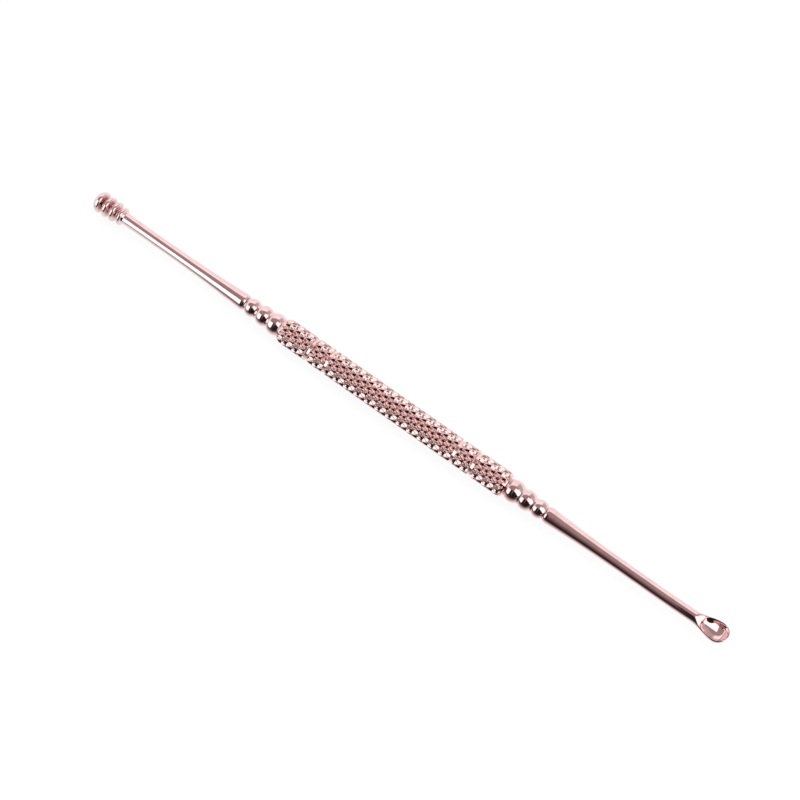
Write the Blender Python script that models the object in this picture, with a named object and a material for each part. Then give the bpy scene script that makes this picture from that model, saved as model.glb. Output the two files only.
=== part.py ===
"""Double-ended ear pick: a knurled grip, two bead collars, a ring tip and a scoop tip.

The tool lies along X, ring tip at -X, scoop tip at +X, with the scoop's bowl open upwards (+Z).
The origin is midway along the tool, on the surface that the grip rests on. Sizes are in metres.
"""

import math

import bmesh
import bpy

# Facets around every turned piece
SIDES = 24

# Grip: diamond-knurled bar with four turned grooves
KNURL_DIAMETER = 0.0051
KNURL_DEPTH = 0.00035
KNURL_PITCH = 0.00245
KNURL_STARTS = 12
RIDGE_WIDTH = 0.0003
GROOVE_DIAMETER = 0.00456
GROOVE_WIDTH = 0.00085
GROOVE_WALL_RUN = 0.00012
OUTER_BAND = 0.0067
INNER_BAND = 0.0033
MIDDLE_BAND = 0.02878
END_FACE_DIAMETER = 0.0044
END_CHAMFER_RUN = 0.0007

# Sockets that take the tangs
TANG_DIAMETER = 0.0016
TANG_CHAMFER = 0.0002
TANG_GRIP_LENGTH = 0.006
TANG_CLEARANCE = 0.0001
SOCKET_RELIEF = 0.0006
DRILL_POINT_ANGLE = math.radians(118)

# Seams between neighbours, and how far a cut runs past what it cuts
SEAM_GAP = 0.0001
OVERRUN = 0.0005

# Bead collars, from the grip outwards
COLLAR_FACE_DIAMETER = 0.0031
INNER_BEAD_DIAMETER = 0.00436
MIDDLE_BEAD_DIAMETER = 0.00397
OUTER_BEAD_DIAMETER = 0.0036
INNER_BEAD_PITCH = 0.00284
OUTER_BEAD_PITCH = 0.00283
INNER_NECK_DIAMETER = 0.0033
OUTER_NECK_DIAMETER = 0.0029
END_NECK_DIAMETER = 0.0027
END_NECK_LENGTH = 0.00017
BEAD_STEPS = 7

# Shanks of both tips
SHOULDER_DIAMETER = 0.00328
SHOULDER_ROUND = 0.0008
SHANK_DIAMETER = 0.00227
RING_TIP_FLARE = 0.018
SCOOP_TIP_FLARE = 0.016
SHOULDER_STEPS = 3
FLARE_STEPS = 6

# Ring tip
RING_TIP_LENGTH = 0.0372
FIRST_RING_DIAMETER = 0.0044
SECOND_RING_DIAMETER = 0.0043
THIRD_RING_DIAMETER = 0.0042
LAST_RING_DIAMETER = 0.0037
RING_PITCH = 0.00169
RING_FOOT_WIDTH = 0.00146
RIM_FLAT = 0.00026
LAST_RIM_FLAT = 0.00012
RIM_RADIUS = 0.00032
RING_CORE_DIAMETER = 0.0023
FIRST_RING_SETBACK = 0.00148
RING_NECK_DIAMETER = 0.00245
RING_NECK_LENGTH = 0.007
RIM_STEPS = 2
NOSE_STEPS = 4
RING_NECK_STEPS = 3

# Scoop tip
SCOOP_TIP_LENGTH = 0.0394
SCOOP_BEND_LENGTH = 0.016
SCOOP_RISE = 0.0014
SCOOP_NECK_LENGTH = 0.005
SCOOP_WIDTH = 0.0041
SCOOP_END_LENGTH = 0.002
SCOOP_TOP = 0.0011
SCOOP_BOTTOM = 0.0012
SCOOP_END_RISE = 0.0005
RAMP_SETBACK = 0.0066
RAMP_ANGLE = math.radians(30)
RAMP_FOOT_HEIGHT = 0.00015
LIP_ANGLE = math.radians(4)
BOWL_SETBACK = 0.0059
BOWL_LENGTH = 0.00555
BOWL_WIDTH = 0.0035
BOWL_DEPTH = 0.00085
BOWL_WALL_ANGLE = math.radians(52)
BOWL_SHARES = (
    (0, 0, 0),
    (0.06, 0.42, 0.1),
    (0.16, 0.66, 0.3),
    (0.3, 0.86, 0.66),
    (0.45, 0.97, 0.9),
    (0.6, 1, 1),
    (0.75, 0.97, 0.94),
    (0.86, 0.86, 0.76),
    (0.94, 0.64, 0.44),
    (1, 0, 0),
)
BEND_STEPS = 5
LIP_STEPS = 4
NECK_STEPS = 6
END_STEPS = 6

KNURL_RADIUS = KNURL_DIAMETER / 2
SOCKET_RADIUS = TANG_DIAMETER / 2 + TANG_CLEARANCE
GRIP_BANDS = (OUTER_BAND, INNER_BAND, MIDDLE_BAND, INNER_BAND, OUTER_BAND)
GROOVE_COUNT = len(GRIP_BANDS) - 1
GRIP_LENGTH = sum(GRIP_BANDS) + GROOVE_COUNT * GROOVE_WIDTH
RING_DIAMETERS = (
    LAST_RING_DIAMETER,
    THIRD_RING_DIAMETER,
    SECOND_RING_DIAMETER,
    FIRST_RING_DIAMETER,
)

RAMP_FOOT = (
    SCOOP_TIP_LENGTH
    - RAMP_SETBACK
    + (SHANK_DIAMETER / 2 - RAMP_FOOT_HEIGHT) / math.tan(RAMP_ANGLE)
)

# Half a facet's turn puts a flat, not an edge, at the bottom of every turned piece
FACET_ANGLE = 2 * math.pi / SIDES
REST_HEIGHT = KNURL_RADIUS * math.cos(FACET_ANGLE / 2)


def chord(radius, height):
    """Distance along the axis from a ball's centre to where its surface has the given height."""
    return math.sqrt(radius ** 2 - height ** 2)


INNER_BEAD_SETBACK = chord(INNER_BEAD_DIAMETER / 2, COLLAR_FACE_DIAMETER / 2)
MIDDLE_BEAD_SETBACK = INNER_BEAD_SETBACK + INNER_BEAD_PITCH
OUTER_BEAD_SETBACK = MIDDLE_BEAD_SETBACK + OUTER_BEAD_PITCH
COLLAR_LENGTH = (
    OUTER_BEAD_SETBACK
    + chord(OUTER_BEAD_DIAMETER / 2, END_NECK_DIAMETER / 2)
    + END_NECK_LENGTH
)
SEAT_DISTANCE = SEAM_GAP + COLLAR_LENGTH + SEAM_GAP
TANG_LENGTH = SEAT_DISTANCE + TANG_GRIP_LENGTH
TOOL_LENGTH = RING_TIP_LENGTH + SEAT_DISTANCE + GRIP_LENGTH + SEAT_DISTANCE + SCOOP_TIP_LENGTH
GRIP_START = RING_TIP_LENGTH + SEAT_DISTANCE - TOOL_LENGTH / 2
GRIP_END = GRIP_START + GRIP_LENGTH


def metal(name, colour, roughness):
    """Principled BSDF for one plated part."""
    material = bpy.data.materials.new(name)
    material.use_nodes = True
    shader = material.node_tree.nodes["Principled BSDF"]
    shader.inputs["Base Color"].default_value = (*colour, 1.0)
    shader.inputs["Metallic"].default_value = 1.0
    shader.inputs["Roughness"].default_value = roughness
    material.diffuse_color = (*colour, 1.0)
    return material


def add_object(name, mesh_data, material):
    """Put a finished bmesh into the scene as one smooth-shaded object."""
    bmesh.ops.recalc_face_normals(mesh_data, faces=mesh_data.faces)
    mesh = bpy.data.meshes.new(name)
    mesh_data.to_mesh(mesh)
    mesh_data.free()
    mesh.shade_smooth()
    mesh.set_sharp_from_angle(angle=math.radians(32))
    if material:
        mesh.materials.append(material)
    part = bpy.data.objects.new(name, mesh)
    bpy.context.scene.collection.objects.link(part)
    return part


def facet_angle(side):
    """Angle of one facet edge about the axis, with flats at the top, bottom and sides."""
    return (side + 0.5) * FACET_ANGLE


def ring_of_points(mesh_data, x, half_width, low, high):
    """Closed ring of points across the axis, as wide and as deep as the section asks."""
    middle = (high + low) / 2
    half_depth = (high - low) / 2
    return [
        mesh_data.verts.new((
            x,
            half_width * math.cos(facet_angle(side)),
            middle + half_depth * math.sin(facet_angle(side)),
        ))
        for side in range(SIDES)
    ]


def join_rings(mesh_data, first, second):
    """Skin between two rings, where a ring of one point is a pole on the axis."""
    for side in range(SIDES):
        after = (side + 1) % SIDES
        if len(first) == 1:
            mesh_data.faces.new((first[0], second[side], second[after]))
        elif len(second) == 1:
            mesh_data.faces.new((first[side], second[0], first[after]))
        else:
            mesh_data.faces.new((first[side], second[side], second[after], first[after]))


def loft(sections, closed=False):
    """Skin through sections of (x, half width, low, high); a section of no width is a pole."""
    mesh_data = bmesh.new()
    rings = []
    for x, half_width, low, high in sections:
        if half_width:
            rings.append(ring_of_points(mesh_data, x, half_width, low, high))
        else:
            rings.append([mesh_data.verts.new((x, 0, (low + high) / 2))])
    for first, second in zip(rings, rings[1:]):
        join_rings(mesh_data, first, second)
    if closed:
        join_rings(mesh_data, rings[-1], rings[0])
    return mesh_data


def turned(outline, closed=False):
    """Solid of revolution about the X axis from an outline of (x, radius)."""
    return loft([(x, radius, -radius, radius) for x, radius in outline], closed)


def arc(centre_x, centre_radius, half_length, half_height, start, end, steps):
    """Points (x, radius) along part of an ellipse, angles in degrees from +x."""
    points = []
    for step in range(steps + 1):
        angle = math.radians(start + (end - start) * step / steps)
        points.append((
            centre_x + half_length * math.cos(angle),
            centre_radius + half_height * math.sin(angle),
        ))
    return points


def x_at_radius(low_point, high_point, radius):
    """Where the straight line through two outline points reaches a radius."""
    share = (radius - low_point[1]) / (high_point[1] - low_point[1])
    return low_point[0] + share * (high_point[0] - low_point[0])


def prism_radius(angle):
    """Radius of the prism that the knurl's ridges lie on, at an angle from a facet edge."""
    from_flat = (angle % FACET_ANGLE) - FACET_ANGLE / 2
    return REST_HEIGHT / math.cos(from_flat)


def knurled_bar(start, end):
    """Closed bar whose surface is a lattice of crossing ridges around sunk diamond pits.

    Nodes and pits take turns along every facet edge, and each pit has its rhombus of flat ridge
    around it. The bar runs a pitch past the grip at both ends, to be turned to length.
    """
    half_pitch = KNURL_PITCH / 2
    half_arc = KNURL_RADIUS * FACET_ANGLE
    pit_inset = 0.5 * RIDGE_WIDTH * math.hypot(half_pitch, half_arc) / (half_pitch * half_arc)
    pit_share = 1 - pit_inset
    first_x = start - KNURL_PITCH
    rows = math.ceil((end + KNURL_PITCH - first_x) / half_pitch)
    columns = 2 * KNURL_STARTS
    mesh_data = bmesh.new()

    def point(column, row, depth=0):
        angle = column * FACET_ANGLE
        radius = prism_radius(angle) - depth
        turn = angle + facet_angle(0)
        x = first_x + row * half_pitch
        return mesh_data.verts.new((x, radius * math.cos(turn), radius * math.sin(turn)))

    nodes = {}
    for column in range(columns):
        for row in range(rows + 1):
            if (column + row) % 2 == 0:
                nodes[column, row] = point(column, row)
    for column in range(columns):
        for row in range(1, rows):
            if (column + row) % 2 == 0:
                continue
            around = (
                nodes[column, row - 1],
                nodes[(column + 1) % columns, row],
                nodes[column, row + 1],
                nodes[(column - 1) % columns, row],
            )
            rim = (
                point(column, row - pit_share),
                point(column + pit_share, row),
                point(column, row + pit_share),
                point(column - pit_share, row),
            )
            pit = point(column, row, KNURL_DEPTH)
            for side in range(4):
                after = (side + 1) % 4
                mesh_data.faces.new((around[side], around[after], rim[after], rim[side]))
                mesh_data.faces.new((rim[side], rim[after], pit))
    for row in (0, rows):
        pole = mesh_data.verts.new((first_x + row * half_pitch, 0, 0))
        inner_row = min(max(row, 1), rows - 1)
        edge = [
            nodes.get((column, row)) or nodes[column, inner_row]
            for column in range(columns)
        ]
        for column in range(columns):
            mesh_data.faces.new((edge[column], edge[(column + 1) % columns], pole))
    return mesh_data


def grip_outline():
    """Outline of the turning cuts: sockets, end faces, chamfers and the four grooves."""
    beyond = KNURL_RADIUS + OVERRUN
    floor = GROOVE_DIAMETER / 2
    face = END_FACE_DIAMETER / 2
    drill_point = SOCKET_RADIUS / math.tan(DRILL_POINT_ANGLE / 2)
    socket_depth = TANG_GRIP_LENGTH + SOCKET_RELIEF
    outline = [
        (GRIP_START + socket_depth + drill_point, 0),
        (GRIP_START + socket_depth, SOCKET_RADIUS),
        (GRIP_START, SOCKET_RADIUS),
        (GRIP_START, face),
    ]
    crest = (GRIP_START + END_CHAMFER_RUN, KNURL_RADIUS)
    outline.append((x_at_radius(outline[-1], crest, beyond), beyond))
    x = GRIP_START
    for band in GRIP_BANDS[:-1]:
        x += band
        near_foot = (x + GROOVE_WALL_RUN, floor)
        near_top = x_at_radius(near_foot, (x, KNURL_RADIUS), beyond)
        x += GROOVE_WIDTH
        far_foot = (x - GROOVE_WALL_RUN, floor)
        far_top = x_at_radius(far_foot, (x, KNURL_RADIUS), beyond)
        outline += [(near_top, beyond), near_foot, far_foot, (far_top, beyond)]
    crest = (GRIP_END - END_CHAMFER_RUN, KNURL_RADIUS)
    outline += [
        (x_at_radius((GRIP_END, face), crest, beyond), beyond),
        (GRIP_END, face),
        (GRIP_END, SOCKET_RADIUS),
        (GRIP_END - socket_depth, SOCKET_RADIUS),
        (GRIP_END - socket_depth - drill_point, 0),
    ]
    return outline


def cut(part, cutter, operation):
    """Exact Boolean with a hidden cutter."""
    cutter.hide_render = True
    cutter.display_type = "WIRE"
    modifier = part.modifiers.new(cutter.name, "BOOLEAN")
    modifier.operation = operation
    modifier.object = cutter
    modifier.solver = "EXACT"


def bead(setback, diameter, near_neck, far_neck):
    """Arc over one bead, from the neck nearer to the grip to the neck further out."""
    radius = diameter / 2
    start = 180 - math.degrees(math.asin(near_neck / diameter))
    end = math.degrees(math.asin(far_neck / diameter))
    return arc(setback, 0, radius, radius, start, end, BEAD_STEPS)


def collar_outline():
    """Outline of a bead collar, from its face at the grip to the last neck, and its bore."""
    outline = [(0, SOCKET_RADIUS)]
    outline += bead(INNER_BEAD_SETBACK, INNER_BEAD_DIAMETER, COLLAR_FACE_DIAMETER, INNER_NECK_DIAMETER)
    outline += bead(MIDDLE_BEAD_SETBACK, MIDDLE_BEAD_DIAMETER, INNER_NECK_DIAMETER, OUTER_NECK_DIAMETER)
    outline += bead(OUTER_BEAD_SETBACK, OUTER_BEAD_DIAMETER, OUTER_NECK_DIAMETER, END_NECK_DIAMETER)
    outline += [(COLLAR_LENGTH, END_NECK_DIAMETER / 2), (COLLAR_LENGTH, SOCKET_RADIUS)]
    return outline


def shank_outline(flare_length):
    """Outline of tang, seat, rounded shoulder and flare, down to the slim shank."""
    tang = TANG_DIAMETER / 2
    neck = END_NECK_DIAMETER / 2
    shoulder = SHOULDER_DIAMETER / 2
    shank = SHANK_DIAMETER / 2
    outline = [
        (-TANG_LENGTH, 0),
        (-TANG_LENGTH, tang - TANG_CHAMFER),
        (TANG_CHAMFER - TANG_LENGTH, tang),
        (0, tang),
    ]
    outline += arc(SHOULDER_ROUND, neck, SHOULDER_ROUND, shoulder - neck, 180, 90, SHOULDER_STEPS)
    for step in range(1, FLARE_STEPS + 1):
        left = 1 - step / FLARE_STEPS
        x = SHOULDER_ROUND + flare_length * (1 - left)
        outline.append((x, shank + (shoulder - shank) * left ** 2))
    return outline


def ring_outline(centre, diameter, rim_flat):
    """Outline over one ring: sloping flanks from its foot, and a flat rim with rounded edges."""
    core = RING_CORE_DIAMETER / 2
    centre_radius = diameter / 2 - RIM_RADIUS
    near = centre - rim_flat / 2
    far = centre + rim_flat / 2
    outline = [(centre - RING_FOOT_WIDTH / 2, core)]
    outline += arc(near, centre_radius, RIM_RADIUS, RIM_RADIUS, 180, 90, RIM_STEPS)
    outline += arc(far, centre_radius, RIM_RADIUS, RIM_RADIUS, 90, 0, RIM_STEPS)
    outline.append((centre + RING_FOOT_WIDTH / 2, core))
    return outline


def ring_tip_outline():
    """Whole outline of the ring tip, from the tang's end to the domed nose."""
    outline = shank_outline(RING_TIP_FLARE)
    shank = SHANK_DIAMETER / 2
    first_centre = RING_TIP_LENGTH - FIRST_RING_SETBACK
    last_centre = first_centre - (len(RING_DIAMETERS) - 1) * RING_PITCH
    neck_end = last_centre - RING_FOOT_WIDTH / 2
    for step in range(RING_NECK_STEPS):
        along = step / RING_NECK_STEPS
        x = neck_end - RING_NECK_LENGTH * (1 - along)
        outline.append((x, shank + (RING_NECK_DIAMETER / 2 - shank) * along ** 2))
    outline.append((neck_end, RING_NECK_DIAMETER / 2))
    rings = []
    for index, diameter in enumerate(RING_DIAMETERS):
        rim_flat = RIM_FLAT if index else LAST_RIM_FLAT
        rings += ring_outline(last_centre + index * RING_PITCH, diameter, rim_flat)
    nose = RING_TIP_LENGTH - first_centre
    outline += rings[1:-RIM_STEPS - 2]
    outline += arc(first_centre, 0, nose, FIRST_RING_DIAMETER / 2, 90, 0, NOSE_STEPS)[:-1]
    outline.append((RING_TIP_LENGTH, 0))
    return outline


def bend_rise(x):
    """Height that the scoop tip's bend has gained at a distance from the seat."""
    bend_start = SCOOP_TIP_LENGTH - SCOOP_BEND_LENGTH
    along = max(x - bend_start, 0) / SCOOP_BEND_LENGTH
    return SCOOP_RISE * along ** 2


def bent(sections):
    """Sections lifted by the scoop tip's bend."""
    lifted = []
    for x, half_width, low, high in sections:
        rise = bend_rise(x)
        lifted.append((x, half_width, low + rise, high + rise))
    return lifted


def scoop_sections():
    """Sections of the scoop tip: the round shank, the swelling neck and the rounded end."""
    shank = SHANK_DIAMETER / 2
    sections = [(x, radius, -radius, radius) for x, radius in shank_outline(SCOOP_TIP_FLARE)]
    widest = SCOOP_TIP_LENGTH - SCOOP_END_LENGTH
    bend_start = SCOOP_TIP_LENGTH - SCOOP_BEND_LENGTH
    straight_run = SCOOP_BEND_LENGTH - SCOOP_END_LENGTH - SCOOP_NECK_LENGTH
    for step in range(BEND_STEPS):
        sections.append((bend_start + straight_run * step / BEND_STEPS, shank, -shank, shank))
    for step in range(NECK_STEPS + 1):
        along = step / NECK_STEPS
        swell = along * along * (3 - 2 * along)
        sections.append((
            widest - SCOOP_NECK_LENGTH * (1 - along),
            shank + (SCOOP_WIDTH / 2 - shank) * swell,
            -shank - (SCOOP_BOTTOM - shank) * swell,
            shank + (SCOOP_TOP - shank) * swell,
        ))
    for step in range(1, END_STEPS):
        angle = math.pi / 2 * step / END_STEPS
        rise = SCOOP_END_RISE * (1 - math.cos(angle))
        sections.append((
            widest + SCOOP_END_LENGTH * math.sin(angle),
            SCOOP_WIDTH / 2 * math.cos(angle),
            rise - SCOOP_BOTTOM * math.cos(angle),
            rise + SCOOP_TOP * math.cos(angle),
        ))
    sections.append((SCOOP_TIP_LENGTH, 0, SCOOP_END_RISE, SCOOP_END_RISE))
    return bent(sections)


def head_height(x):
    """Height of the scoop's top above the tool's axis: down the ramp, then rising along the lip."""
    slope = -math.tan(RAMP_ANGLE) if x < RAMP_FOOT else math.tan(LIP_ANGLE)
    return RAMP_FOOT_HEIGHT + (x - RAMP_FOOT) * slope


def bowl_cutter():
    """Hidden body that sinks the bowl: a gentle slope down the ramp, a steeper wall at the end."""
    sections = []
    for along, width_share, depth_share in BOWL_SHARES:
        x = SCOOP_TIP_LENGTH - BOWL_SETBACK + BOWL_LENGTH * along
        depth = BOWL_DEPTH * depth_share
        low = head_height(x) - depth
        sections.append((
            x,
            BOWL_WIDTH / 2 * width_share / math.sin(BOWL_WALL_ANGLE),
            low,
            low + 2 * depth / (1 - math.cos(BOWL_WALL_ANGLE)),
        ))
    return add_object("bowl_cutter", loft(bent(sections)), None)


def lip_cutter():
    """Hidden prism above the ramp and the lip, which takes the top off the scoop's head."""
    top = SHANK_DIAMETER / 2 + OVERRUN
    end = SCOOP_TIP_LENGTH + OVERRUN
    side = SCOOP_WIDTH / 2 + OVERRUN
    profile = [(RAMP_FOOT - (top - RAMP_FOOT_HEIGHT) / math.tan(RAMP_ANGLE), top)]
    for step in range(LIP_STEPS + 1):
        x = RAMP_FOOT + (end - RAMP_FOOT) * step / LIP_STEPS
        profile.append((x, head_height(x)))
    profile.append((end, top + head_height(end)))
    mesh_data = bmesh.new()
    near = [mesh_data.verts.new((x, -side, z + bend_rise(x))) for x, z in profile]
    face = mesh_data.faces.new(near)
    extruded = bmesh.ops.extrude_face_region(mesh_data, geom=[face])
    for item in extruded["geom"]:
        if isinstance(item, bmesh.types.BMVert):
            item.co.y = side
    return add_object("lip_cutter", mesh_data, None)


def build():
    """Make the five pieces and set them on the tool's axis."""
    axis = bpy.data.objects.new("tool_axis", None)
    axis.location = (0, 0, REST_HEIGHT)
    bpy.context.scene.collection.objects.link(axis)

    grip = add_object(
        "knurled_grip",
        knurled_bar(GRIP_START, GRIP_END),
        metal("knurl_rose_gold", (0.84, 0.56, 0.51), 0.2),
    )
    grip_blank = add_object("grip_turning", turned(grip_outline()), None)
    cut(grip, grip_blank, "INTERSECT")

    ring_collar = add_object(
        "ring_end_bead_collar",
        turned(collar_outline(), closed=True),
        metal("ring_collar_rose_gold", (0.86, 0.58, 0.53), 0.12),
    )
    scoop_collar = add_object(
        "scoop_end_bead_collar",
        turned(collar_outline(), closed=True),
        metal("scoop_collar_rose_gold", (0.86, 0.58, 0.53), 0.12),
    )
    ring_tip = add_object(
        "ring_tip",
        turned(ring_tip_outline()),
        metal("ring_tip_rose_gold", (0.85, 0.57, 0.52), 0.12),
    )
    scoop_tip = add_object(
        "scoop_tip",
        loft(scoop_sections()),
        metal("scoop_tip_rose_gold", (0.85, 0.57, 0.52), 0.12),
    )
    lip = lip_cutter()
    bowl = bowl_cutter()
    cut(scoop_tip, lip, "DIFFERENCE")
    cut(scoop_tip, bowl, "DIFFERENCE")

    ring_collar.location.x = GRIP_START - SEAM_GAP
    ring_collar.rotation_euler.z = math.pi
    scoop_collar.location.x = GRIP_END + SEAM_GAP
    ring_tip.location.x = GRIP_START - SEAT_DISTANCE
    ring_tip.rotation_euler.z = math.pi
    scoop_tip.location.x = GRIP_END + SEAT_DISTANCE
    lip.parent = scoop_tip
    bowl.parent = scoop_tip
    for part in (grip, grip_blank, ring_collar, scoop_collar, ring_tip, scoop_tip):
        part.parent = axis


for old in list(bpy.data.objects):
    bpy.data.objects.remove(old)
build()
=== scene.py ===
"""Looks of the double-ended ear pick: rose-gold plating on turned, knurled and scooped metal.

The tool lies along X on a pale floor, ring tip at -X, scoop tip at +X, bowl upwards. Sizes are in metres.
"""

import math
from collections import namedtuple

import bpy
import numpy as np
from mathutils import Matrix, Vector


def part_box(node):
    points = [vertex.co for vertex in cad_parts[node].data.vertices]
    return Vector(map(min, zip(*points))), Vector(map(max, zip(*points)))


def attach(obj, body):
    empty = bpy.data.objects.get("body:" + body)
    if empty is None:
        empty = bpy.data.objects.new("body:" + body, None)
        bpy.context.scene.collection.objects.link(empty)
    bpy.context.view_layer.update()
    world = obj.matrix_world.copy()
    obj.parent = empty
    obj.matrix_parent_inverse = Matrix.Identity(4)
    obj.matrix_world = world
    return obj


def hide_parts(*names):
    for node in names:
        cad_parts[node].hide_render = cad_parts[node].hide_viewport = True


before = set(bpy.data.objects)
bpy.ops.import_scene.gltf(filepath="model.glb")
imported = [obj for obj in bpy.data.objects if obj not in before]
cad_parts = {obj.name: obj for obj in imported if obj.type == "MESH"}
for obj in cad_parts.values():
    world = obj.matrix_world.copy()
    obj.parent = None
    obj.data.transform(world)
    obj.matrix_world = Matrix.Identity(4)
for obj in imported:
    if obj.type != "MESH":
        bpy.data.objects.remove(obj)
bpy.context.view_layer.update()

BODY = "root"

# Where the frame puts the pieces
GRIP_LOW, GRIP_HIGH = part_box("knurled_grip")
RING_COLLAR_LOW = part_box("ring_end_bead_collar")[0]
SCOOP_COLLAR_LOW, SCOOP_COLLAR_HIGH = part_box("scoop_end_bead_collar")
RING_TIP_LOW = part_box("ring_tip")[0]
SCOOP_TIP_LOW, SCOOP_TIP_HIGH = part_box("scoop_tip")
AXIS_HEIGHT = (GRIP_LOW.z + GRIP_HIGH.z) / 2
CREST_RADIUS = (GRIP_HIGH.z - GRIP_LOW.z) / 2
GRIP_START = GRIP_LOW.x
GRIP_END = GRIP_HIGH.x
SEAM_GAP = SCOOP_COLLAR_LOW.x - GRIP_END
COLLAR_LENGTH = SCOOP_COLLAR_HIGH.x - SCOOP_COLLAR_LOW.x
RING_SEAT = RING_COLLAR_LOW.x - SEAM_GAP
SCOOP_SEAT = SCOOP_COLLAR_HIGH.x + SEAM_GAP
RING_TIP_LENGTH = RING_SEAT - RING_TIP_LOW.x
SCOOP_TIP_LENGTH = SCOOP_TIP_HIGH.x - SCOOP_SEAT
TANG_LENGTH = SCOOP_SEAT - SCOOP_TIP_LOW.x

# Facets around the turned pieces, and the angle from which an edge stays sharp
TURNED_SIDES = 128
SHARP_ANGLE = math.radians(40)

# Rounding of an outline's corners: its reach along both lines, at most a share of either, and the turn
# from which a corner is rounded
CORNER_ROUND = 0.00006
CORNER_LINE_SHARE = 1 / 2.2
CORNER_TURN = math.radians(14)
CORNER_STEPS = 4

# Diamond knurl. The mesh has KNURL_CELLS rows to the pitch, so that its points lie on the crests. A
# crest's flat is a share of the pitch on each side, and a pit's rounding a share of the depth.
KNURL_PITCH = 0.00245
KNURL_STARTS = 12
KNURL_DEPTH = 0.00046
KNURL_CELLS = 18
KNURL_SIDES = KNURL_STARTS * KNURL_CELLS
KNURL_PHASE = -0.04
KNURL_TURN = math.radians(-9)
CREST_FLAT_SHARE = 1 / KNURL_CELLS
PIT_ROUND_SHARE = 0.12
CREST_STEP = 0.00001
CREST_FALL = 0.00008
KNURL_SHARP_ANGLE = math.radians(50)

# Turned grooves and ends of the grip
GROOVE_DIAMETER = 0.00456
GROOVE_WIDTH = 0.00085
GROOVE_WALL_RUN = 0.00012
GROOVE_FLOOR_LEAN = 0.00006
OUTER_BAND = 0.0067
INNER_BAND = 0.0033
MIDDLE_BAND = 0.02878
END_FACE_DIAMETER = 0.0044
END_CHAMFER_RUN = 0.0007
SOCKET_DIAMETER = 0.0018
SOCKET_DEPTH = 0.0066
DRILL_POINT = 0.00054

# Bead collars
COLLAR_FACE_DIAMETER = 0.0031
FLANGE_DIAMETER = 0.0036
FLANGE_WIDTH = 0.00022
INNER_BEAD_DIAMETER = 0.00436
MIDDLE_BEAD_DIAMETER = 0.00397
OUTER_BEAD_DIAMETER = 0.0036
INNER_BEAD_PITCH = 0.00284
OUTER_BEAD_PITCH = 0.00283
INNER_NECK_DIAMETER = 0.0033
OUTER_NECK_DIAMETER = 0.0029
END_NECK_DIAMETER = 0.0027
BEAD_STEPS = 40

# Shanks
TANG_DIAMETER = 0.0016
TANG_CHAMFER = 0.0002
SHOULDER_DIAMETER = 0.00328
SHOULDER_ROUND = 0.0008
SHANK_DIAMETER = 0.00227
RING_TIP_FLARE = 0.018
SCOOP_TIP_FLARE = 0.016
SHOULDER_STEPS = 10
FLARE_STEPS = 30

# Ring tip
RING_DIAMETERS = (0.0037, 0.0042, 0.0043, 0.0044)
RING_PITCH = 0.00169
RING_FOOT_WIDTH = 0.00146
RIM_FLAT = 0.0001
LAST_RIM_FLAT = 0.00004
RIM_RADIUS = 0.0004
RING_CORE_DIAMETER = 0.0023
FIRST_RING_SETBACK = 0.00148
RING_NECK_DIAMETER = 0.00245
RING_NECK_LENGTH = 0.007
RIM_STEPS = 10
NOSE_STEPS = 16
RING_NECK_STEPS = 12

# Scoop tip: bend, neck, head, ramp and lips
SCOOP_BEND_LENGTH = 0.016
SCOOP_RISE = 0.0014
SCOOP_NECK_LENGTH = 0.005
SCOOP_WIDTH = 0.0041
SCOOP_END_LENGTH = 0.002
SCOOP_TOP = 0.0011
SCOOP_BOTTOM = 0.0012
SCOOP_END_RISE = 0.0005
RAMP_SETBACK = 0.0066
RAMP_ANGLE = math.radians(30)
LIP_START_HEIGHT = 0.00035
RAMP_FILLET = 0.0003
LIP_ANGLE = math.radians(1.5)
LIP_ROUND = 0.0002

# Bowl of the scoop. START, WIDEST, FROM and TO shares are of its length. The wall starts at a share of the
# half width, and its own share is how far it takes the place of the plain dish.
BOWL_SETBACK = 0.0054
BOWL_LENGTH = 0.0051
BOWL_WIDTH = 0.0037
BOWL_START_DEPTH = 0.00042
BOWL_START_SHARE = 0.07
BOWL_FALL = 0.00122
BOWL_END_POWER = 9
BOWL_WIDEST_SHARE = 0.6
BOWL_OUTLINE_POWER = 2.3
BOWL_WALL_SHARE = 0.62
BOWL_WALL_START_SHARE = 0.7
BOWL_WALL_POWER = 1.7
WALL_FROM_SHARE = 0.2
WALL_TO_SHARE = 0.5
SHELL_THICKNESS = 0.00018

# Mesh of the scoop tip
HEAD_STATION = 0.00006
SHANK_STATION = 10 * HEAD_STATION
OUTER_POINTS = 96
TOP_POINTS = 96
TOP_EDGE_ANGLE = math.radians(60)
LOWEST_EDGE_SINE = -0.95
END_STEPS = 28
SCOOP_SHARP_ANGLE = math.radians(60)

# Plating
PLATE_COLOUR = (0.92, 0.675, 0.67)
# Darker, redder colours for worn patches, also mixed into recesses as painted shade
COPPER_AND_SHADE_COLOUR = (0.6, 0.36, 0.34)
DARK_WEAR_AND_SHADE_COLOUR = (0.4, 0.15, 0.13)
KNURL_COLOUR = (0.93, 0.665, 0.64)
DRIFT_SCALE = 420.0
DRIFT_DETAIL = 3.0
DRIFT_ROUGHNESS = 0.55
WEAR_START_NOISE = 0.42
WEAR_FULL_NOISE = 0.75
# Ambient occlusion for the painted shade in recesses: samples, and the openness where it starts and where
# it is full
POCKET_SAMPLES = 6
POCKET_START_OPENNESS = 0.8
POCKET_FULL_OPENNESS = 0.3
GLOSS_SCALE = 1500.0
GLOSS_DETAIL = 4.0
GLOSS_NOISE_ROUGHNESS = 0.6
SMOOTH_NOISE = 0.3
ROUGH_NOISE = 0.75
LEAST_ROUGHNESS = 0.049
MOST_ROUGHNESS = 0.105
MARK_SCALE = (9000.0, 60.0, 60.0)
MARK_DETAIL = 2.0
MARK_HEIGHT = 0.000002
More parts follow.
